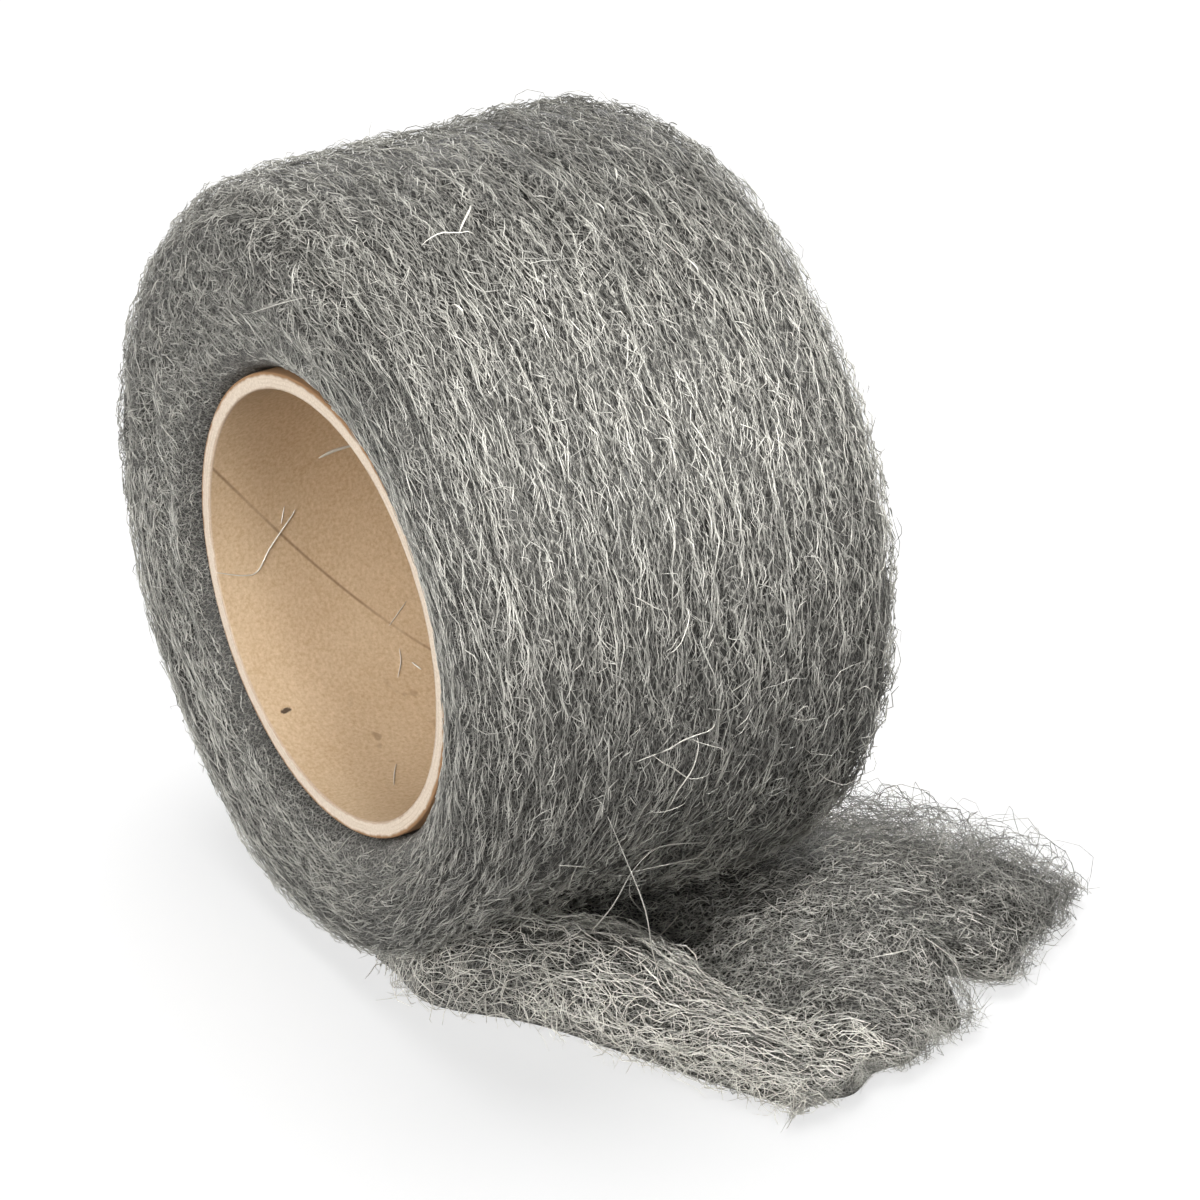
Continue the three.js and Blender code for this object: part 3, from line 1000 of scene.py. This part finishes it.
# the wool bodies under the fibres: their dark colour is painted shade of the hollows between the fibres,
# their light colour the drawn fine fibres
deepLook = {
    "dark": linear(48, 47, 44),
    "bright": linear(190, 188, 180),
    "metallic": 0.3,
    "roughness": 0.55,
    "clumpShade": (0.5, 1.0),
    "bump": (0.8, 0.4 * mm),  # strength, distance
}
steel = steelFibreMaterial("steelFibre", steelLook)
paintedHighlightSteel = steelFibreMaterial("paintedHighlightFibre", paintedHighlightLook)
sectionLength = bandSection(rollForm)[1][-1]
woundShare = 1 - rollForm["wallShare"]
meanRadius = 66 * mm
turnLength = 2 * math.pi * meanRadius
edgeLength, edgeWidth = 5 * mm, 14 * mm  # what the loose end's rounded edges add, laid flat
tailLength = tailForm["reach"] - tailForm["start"] + edgeLength
tailWidth = rollForm["width"] + edgeWidth
fineNet = buildFineNet(netLook)
rollBody.data.materials.append(deepWoolMaterial("deepWool", fineNet, deepLook | {
    "sizeAlong": turnLength,
    "sizeAcross": sectionLength / woundShare,
    "cell": (3.2 * mm, 0.9 * mm, 0.5),  # length, width and the angle between the two nets
    "endCell": (1.5 * mm, 1.1 * mm, 0.9),
    "nearEnd": (0.20, 0.28),  # where the two ends pass into the outside, across the map
    "farEnd": (0.72, 0.80),
}))
tailBody.data.materials.append(deepWoolMaterial("deepLooseEnd", fineNet, deepLook | {
    "sizeAlong": tailLength,
    "sizeAcross": tailWidth / tailForm["topShare"],
    "cell": (1.5 * mm, 1.0 * mm, 0.9),
}))
print("wool bodies finished")

# fibres of the wound band, lying mostly along its turns
outsideFibres = {
    "Count": 6800,
    "Points": 4,
    "Length": 6.5 * mm,
    "Length Spread": 0.5,
    "Size Around": turnLength,
    "Size Across": sectionLength / woundShare,
    "From Around": 0.0,
    "To Around": 1.0,
    "From Across": 0.22 * woundShare,
    "To Across": 0.80 * woundShare,
    "Reach Across": woundShare - 0.002,
    "Wrap": 1.0,
    "Slant": 0.35,
    "Bend": 110.0,
    "Wave": 0.7 * mm,
    "Wave Pitch": 2.6 * mm,
    "Wave Lift": 0.35,
    "Flat To": -2.0,  # across the map: flat up to here, at full height from the next one on
    "Full From": -1.0,
    "Low": 0.1 * mm,
    "High": 1.5 * mm,
    "Loop": 0.4 * mm,
    "Flick": 0.4 * mm,
    "Clump Length": 9 * mm,
    "Clump Width": 1.5 * mm,
    "Clump Lift": 3 * mm,
    # painted shade: how much darker sunk clumps and low-lying fibres are drawn, and how much lighter the
    # raised ones
    "Clump Painted Shade": 2.4,
    "Depth Painted Shade": 0.6,
    "Tone": 0.5,
    "Thickness": 0.23 * mm,
    "Thickness Spread": 0.4,
    "Seed": 11,
}
# the same, shorter and more crinkled
crinkledFibres = dict(outsideFibres, **{
    "Count": 12400,
    "Points": 3,
    "Length": 2.9 * mm,
    "Slant": 1.2,
    "Bend": 900.0,
    "Wave": 0.55 * mm,
    "Wave Pitch": 1.6 * mm,
    "Low": 0.2 * mm,
    "High": 1.8 * mm,
    "Thickness": 0.2 * mm,
    "Seed": 1011,
})
# thin ones between them
fineFibres = dict(crinkledFibres, **{
    "Count": 10400,
    "Length": 3.4 * mm,
    "Slant": 0.6,
    "Bend": 450.0,
    "Low": 0.3 * mm,
    "High": 1.9 * mm,
    "Thickness": 0.18 * mm,
    "Seed": 1511,
})
# fibres of the two ends, a net with hollows between them
endFibres = dict(crinkledFibres, **{
    "Points": 4,
    "Length": 4 * mm,
    "Slant": 1.4,
    "Bend": 700.0,
    "Wave": 0.5 * mm,
    "Low": 0.0 * mm,
    "High": 2.1 * mm,
    "Clump Length": 2.2 * mm,
    "Clump Width": 1.7 * mm,
    "Thickness": 0.18 * mm,
})
nearEndFibres = dict(endFibres, **{  # on the upper left
    "Count": 3600,
    "From Around": 0.2,
    "To Around": 0.53,
    "From Across": 0.05,
    "To Across": 0.27 * woundShare,
    "Flat To": 0.06,
    "Full From": 0.25,
    "Seed": 2011,
})
# round the rest of the near end they are combed along the turns
combedFibres = dict(nearEndFibres, **{
    "Count": 5200,
    "Length": 5.5 * mm,
    "From Around": 0.5,
    "To Around": 1.23,
    "Slant": 0.5,
    "Bend": 180.0,
    "Clump Length": 5 * mm,
    "Clump Width": 1.4 * mm,
    "Seed": 2211,
})
# short fibres that lie in line round the near rim of the tube
collarFibres = dict(nearEndFibres, **{
    "Count": 2000,
    "Length": 4.2 * mm,
    "From Around": 0.0,
    "To Around": 1.0,
    "From Across": 0.03,
    "To Across": 0.12,
    "Slant": 0.5,
    "Bend": 200.0,
    "Low": -0.2 * mm,
    "High": 0.6 * mm,
    "Loop": 0.2 * mm,
    "Flick": 0.2 * mm,
    "Clump Lift": 1.5 * mm,
    "Seed": 2511,
})
farEndFibres = dict(endFibres, **{
    "Count": 2400,
    "From Across": 0.74 * woundShare,
    "To Across": 0.97 * woundShare,
    "Thickness": 0.24 * mm,
    "Seed": 3011,
})
# tangled fibres of the loose end, lying every way
looseFibres = dict(outsideFibres, **{
    "Count": 8700,
    "Points": 3,
    "Length": 2.7 * mm,
    "Size Around": tailLength,
    "Size Across": tailWidth / tailForm["topShare"],
    "From Around": 0.06,
    "To Around": 0.995,
    "From Across": 0.004,
    "To Across": 0.476,
    "Reach Across": tailForm["topShare"] - 0.0015,
    "Wrap": 0.0,
    "Slant": math.pi,
    "Bend": 1500.0,
    "Wave": 0.6 * mm,
    "Wave Pitch": 1.6 * mm,
    "Wave Lift": 1.0,
    "Low": 0.2 * mm,
    "High": 2.4 * mm,
    "Loop": 0.9 * mm,
    "Flick": 0.8 * mm,
    "Clump Length": 3 * mm,
    "Clump Width": 2.2 * mm,
    "Thickness": 0.18 * mm,
    "Seed": 91,
})
# the ribbon along the loose end's near edge, painted lighter with the lighter copy of the steel and a
# higher tone: painted highlight
ribbonFibres = dict(looseFibres, **{
    "Count": 1200,
    "Points": 4,
    "Length": 4 * mm,
    "From Across": 0.02,
    "To Across": 0.16,
    "From Around": 0.1,
    "To Around": 0.95,
    "Slant": 2.0,
    "Bend": 700.0,
    "Wave Lift": 0.6,
    "Low": 1.2 * mm,
    "High": 2.8 * mm,
    "Tone": 0.6,
    "Seed": 491,
})
# thin wisps that stand over the loose end's far edge
wispFibres = dict(looseFibres, **{
    "Count": 450,
    "Points": 6,
    "Length": 12 * mm,
    "From Across": 0.35,
    "To Across": 0.44,
    "From Around": 0.3,
    "To Around": 0.93,
    "Bend": 450.0,
    "Wave": 1.3 * mm,
    "Wave Pitch": 3 * mm,
    "Low": 1.5 * mm,
    "High": 6 * mm,
    "Loop": 6 * mm,
    "Thickness": 0.13 * mm,
    "Tone": 0.2,
    "Seed": 691,
})
# short ends that stick out along the loose end's near edge
edgeFibres = dict(looseFibres, **{
    "Count": 700,
    "Points": 4,
    "Length": 5 * mm,
    "From Across": 0.001,
    "To Across": 0.05,
    "Bend": 500.0,
    "Wave": 0.8 * mm,
    "Low": -0.2 * mm,
    "High": 2.6 * mm,
    "Loop": 2 * mm,
    "Flick": 5 * mm,
    "Thickness": 0.16 * mm,
    "Seed": 791,
})
# the same along its torn end
tornFibres = dict(edgeFibres, **{
    "Count": 900,
    "From Across": 0.004,
    "To Across": 0.476,
    "From Around": 0.955,
    "To Around": 0.997,
    "Thickness": 0.13 * mm,
    "Seed": 891,
})
# and along its far edge
farEdgeFibres = dict(edgeFibres, **{
    "Count": 600,
    "From Across": 0.43,
    "To Across": 0.477,
    "From Around": 0.03,
    "To Around": 0.93,
    "Thickness": 0.14 * mm,
    "Seed": 991,
})
# thin stray fibres that stand off the wound band
fuzzFibres = dict(outsideFibres, **{
    "Count": 1100,
    "Points": 5,
    "From Across": 0.04,
    "To Across": 0.97 * woundShare,
    "Slant": 2.0,
    "Bend": 450.0,
    "Wave": 1.2 * mm,
    "Wave Pitch": 3 * mm,
    "Low": 0.8 * mm,
    "High": 2.0 * mm,
    "Flat To": 0.08,
    "Full From": 0.25,
    "Loop": 2.2 * mm,
    "Flick": 2.4 * mm,
    "Clump Lift": 0.0,
    "Thickness": 0.13 * mm,
    "Seed": 400,
})
fibreSets = {
    "outside_fibres": (rollBody, outsideFibres),
    "crinkled_fibres": (rollBody, crinkledFibres),
    "fine_fibres": (rollBody, fineFibres),
    "near_end_fibres": (rollBody, nearEndFibres),
    "near_combed_fibres": (rollBody, combedFibres),
    "near_collar": (rollBody, collarFibres),
    "far_end_fibres": (rollBody, farEndFibres),
    "stray_fuzz": (rollBody, fuzzFibres),
    "loose_end_fibres": (tailBody, looseFibres),
    "loose_end_ribbon": (tailBody, ribbonFibres),
    "loose_end_wisps": (tailBody, wispFibres),
    "loose_end_fringe": (tailBody, edgeFibres),
    "torn_end_fringe": (tailBody, tornFibres),
    "far_edge_fringe": (tailBody, farEdgeFibres),
}
# these sets take the lighter copy of the steel: painted highlight
paintedHighlightSets = ("loose_end_ribbon", "loose_end_fringe")
fibreTree = buildFibreTree(outsideFibres, fibreShape)
pieces = [(rollBody, ["wool_roll"]), (tailBody, ["wool_roll"])]
for name, (carrier, values) in fibreSets.items():
    material = paintedHighlightSteel if name in paintedHighlightSets else steel
    pieces.append((growFibres(name, fibreTree, carrier, values, material), ["wool_roll"]))


# single fibres that stand out, each a chain of a few given points
strayLook = {
    "sides": 5,
    "tone": 0.4,  # where they lie on the fibre map's tones
    "stripStep": 0.004,  # width of one side's strip of the map
    "tipShare": 0.3,  # thickness that is left at the tips
    "leaning": (0.3, 0.9, 0.25),  # a direction that none of them takes
}
# on the band: thickness and lift in mm, then degrees round the roll and mm along it
bandStrays = {
    "starLong": (0.24, 1.5, [(-6, -16), (-4, -12), (-4, -6), (-3, -1)]),
    "starDown": (0.26, 1.5, [(-5, -4), (-9, -5), (-13, -7), (-17, -7)]),
    "starFlat": (0.22, 1.5, [(-5, -13), (-8, -9), (-11, -5), (-12, 0)]),
    "starArc": (0.18, 1.5, [(-5, -5), (-6, -2), (-8, 1), (-10, 2)]),
    "starFoot": (0.18, 1.0, [(-16, -11), (-17, -8), (-17, -3)]),
    "rise": (0.2, 1.5, [(14, -5), (12, -6), (9, -10)]),
    "riseLeft": (0.16, 1.5, [(18, -15), (16, -12), (15, -10)]),
    "hook": (0.16, 1.5, [(-7, 15), (-5, 16), (-5, 17), (-7, 18)]),
    "hookTail": (0.14, 1.0, [(-7, 15), (-8, 19), (-9, 21)]),
    "rimHook": (0.18, 1.5, [(-6, 28), (-5, 29), (-7, 31)]),
    "lowRight": (0.18, 1.5, [(-20, 24), (-23, 29), (-26, 34)]),
    "veeUp": (0.42, 1.2, [(78, -12), (75, -15), (73, -18)]),
    "veeAcross": (0.22, 1.2, [(73, -25), (73, -21), (72, -16)]),
    "fleckA": (0.34, 1.0, [(77, 15), (75, 14)]),
    "fleckB": (0.3, 1.0, [(72, 7), (70, 8)]),
    "fleckC": (0.3, 1.0, [(59, 15), (56, 16)]),
    "fleckD": (0.34, 1.0, [(62, -27), (60, -26)]),
}
# free of the band, most of them from a knot over the crease: thickness and points in mm
freeStrays = {
    "knotDown": (0.24, [(60, -20, 53), (58, -14, 39), (58, -11, 30), (56, -8, 19), (55, -5, 11)]),
    "knotLeft": (0.24, [(58, -14, 39), (51, -13, 28), (43, -12, 18)]),
    "knotRight": (0.22, [(58, -14, 39), (51, 0, 32), (47, 8, 28)]),
    "knotUp": (0.2, [(58, -14, 39), (53, -5, 38), (50, 7, 33)]),
    "knotBack": (0.16, [(58, -14, 38), (49, -8, 27), (32, 7, 8)]),
    "branch": (0.16, [(45, 4, 27), (46, 6, 27), (43, 12, 23)]),
    "footRight": (0.2, [(46, -2, 13), (36, 9, 7), (35, 12, 8)]),
    "footLong": (0.2, [(46, -2, 13), (52, 1, 11), (45, 10, 6)]),
    "crossLeft": (0.18, [(40, -7, 16), (34, 0, 12), (28, 6, 8)]),
    "crossDrop": (0.18, [(30, 0, 9), (41, -7, 16), (46, -10, 17)]),
    "creaseDash": (0.22, [(56, -27, 44), (54, -20, 40)]),
    "creaseFall": (0.2, [(54, -22, 41), (51, -21, 37), (48, -20, 32)]),
    "shoulderArc": (0.2, [(-6, -46, 124), (3, -45, 129), (9, -44, 132)]),
    "looseStreak": (0.22, [(68, 41, 11), (71, 44, 8), (72, 46, 5)]),
    "looseLow": (0.18, [(69, 28, 12), (71, 36, 12)]),
}
# in the tube: as on the band
tubeStrays = {
    "rimHair": (0.6, 0.3, [(169, -10), (169, -14), (170, -17)]),
    "curl": (0.3, 0.2, [(195, -39), (198, -34), (198, -31), (193, -28), (186, -23), (184, -22)]),
    "curlBranch": (0.25, 0.2, [(187, -25), (182, -24)]),
    "hairUpper": (0.22, 0.1, [(230, -9), (234, -10), (238, -12)]),
    "hairLower": (0.22, 0.1, [(266, -23), (270, -25), (275, -27)]),
    "dash": (0.3, 0.15, [(235, -8), (238, -7)]),
    "thin": (0.2, 0.1, [(223, -9), (218, -4)]),
}


def smoothChain(points, steps=4):
    # a smooth line through given points (Catmull-Rom)
    chain = np.array([points[0], *points, points[-1]], float)
    out = []
    for i in range(len(points) - 1):
        a, b, c, d = chain[i:i + 4]
        for t in np.linspace(0, 1, steps, endpoint=False):
            bend = 2 * a - 5 * b + 4 * c - d + t * (3 * (b - c) + d - a)
            out.append(b + 0.5 * t * (c - a + t * bend))
    return np.array([*out, points[-1]])


def roundFibre(path, thickness, look):
    # a closed, tapered tube along a path, with a narrow strip of the map at its own tone
    count, sides, step = len(path), look["sides"], look["stripStep"]
    ahead = np.gradient(path, axis=0)
    ahead /= np.linalg.norm(ahead, axis=1)[:, None]
    aside = np.cross(ahead, look["leaning"])
    aside /= np.linalg.norm(aside, axis=1)[:, None]
    upward = np.cross(ahead, aside)
    share = np.linspace(0, 1, count)
    taper = look["tipShare"] + (1 - look["tipShare"]) * np.sin(math.pi * share) ** 0.6
    angle = np.linspace(0, 2 * math.pi, sides, endpoint=False)[None, :, None]
    ring = np.cos(angle) * aside[:, None] + np.sin(angle) * upward[:, None]
    points = (path[:, None] + ring * (thickness / 2 * taper)[:, None, None]).reshape(-1, 3)
    faces, uvs = [], []
    for i in range(count - 1):
        for j in range(sides):
            k = (j + 1) % sides
            faces.append([i * sides + j, i * sides + k, (i + 1) * sides + k, (i + 1) * sides + j])
            left, right = look["tone"] + step * j, look["tone"] + step * (j + 1)
            uvs += [(left, share[i]), (right, share[i]), (right, share[i + 1]), (left, share[i + 1])]
    # both tips are closed, and each has a zigzag of the strip's own end
    for end, inward, order in ((0, step, range(sides - 1, -1, -1)), (count - 1, -step, range(sides))):
        faces.append([end * sides + j for j in order])
        uvs += [(look["tone"] + step * j, share[end] + inward * (j % 2)) for j in order]
    return points, faces, uvs


def joinFibres(name, fibres):
    points, faces, uvs = [], [], []
    for one, oneFaces, oneUvs in fibres:
        faces += [[v + len(points) for v in face] for face in oneFaces]
        points += [tuple(p) for p in one]
        uvs += oneUvs
    return meshObject(name, points, faces, uvs)


def bandPath(points, lift):
    chain = smoothChain(points)
    line, run = bandSection(rollForm)
    outside = slice(np.argmin(line[:, 1]), np.argmax(line[:, 1]))
    across = np.interp(chain[:, 1] * mm, line[outside, 1], run[outside] / run[-1])
    arch = np.sin(math.pi * np.linspace(0, 1, len(chain))) ** 0.5  # both ends dip into the band
    return rollPoints(rollForm, chain[:, 0] / 360, across, -arch * lift * mm)


def tubePath(points, lift):
    chain = smoothChain(points)
    turn = np.radians(chain[:, 0])
    radius = tubeInner - lift * mm
    return np.stack([radius * np.cos(turn), chain[:, 1] * mm, axisHeight + radius * np.sin(turn)], -1)


bandSingles = joinFibres("single_fibres", [
    roundFibre(bandPath(points, lift), thickness * mm, strayLook)
    for thickness, lift, points in bandStrays.values()
] + [
    roundFibre(smoothChain(points) * mm, thickness * mm, strayLook)
    for thickness, points in freeStrays.values()
])
tubeSingles = joinFibres("tube_fibres", [
    roundFibre(tubePath(points, lift), thickness * mm, strayLook)
    for thickness, lift, points in tubeStrays.values()
])
# the single fibres take the lighter copy of the steel: painted highlight
for singles in (bandSingles, tubeSingles):
    singles.data.materials.append(paintedHighlightSteel)
    pieces.append((singles, ["wool_roll"]))
print("single fibres made")

tube = makeTube(tubeForm)
tube.data.materials.append(cardMaterial(cardLook))
pieces.append((tube, ["core_tube"]))
print("card tube made")

for piece, nodes in pieces:
    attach(piece, "root")
    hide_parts(*nodes)
print("pieces:", [p.name for p, _ in pieces])
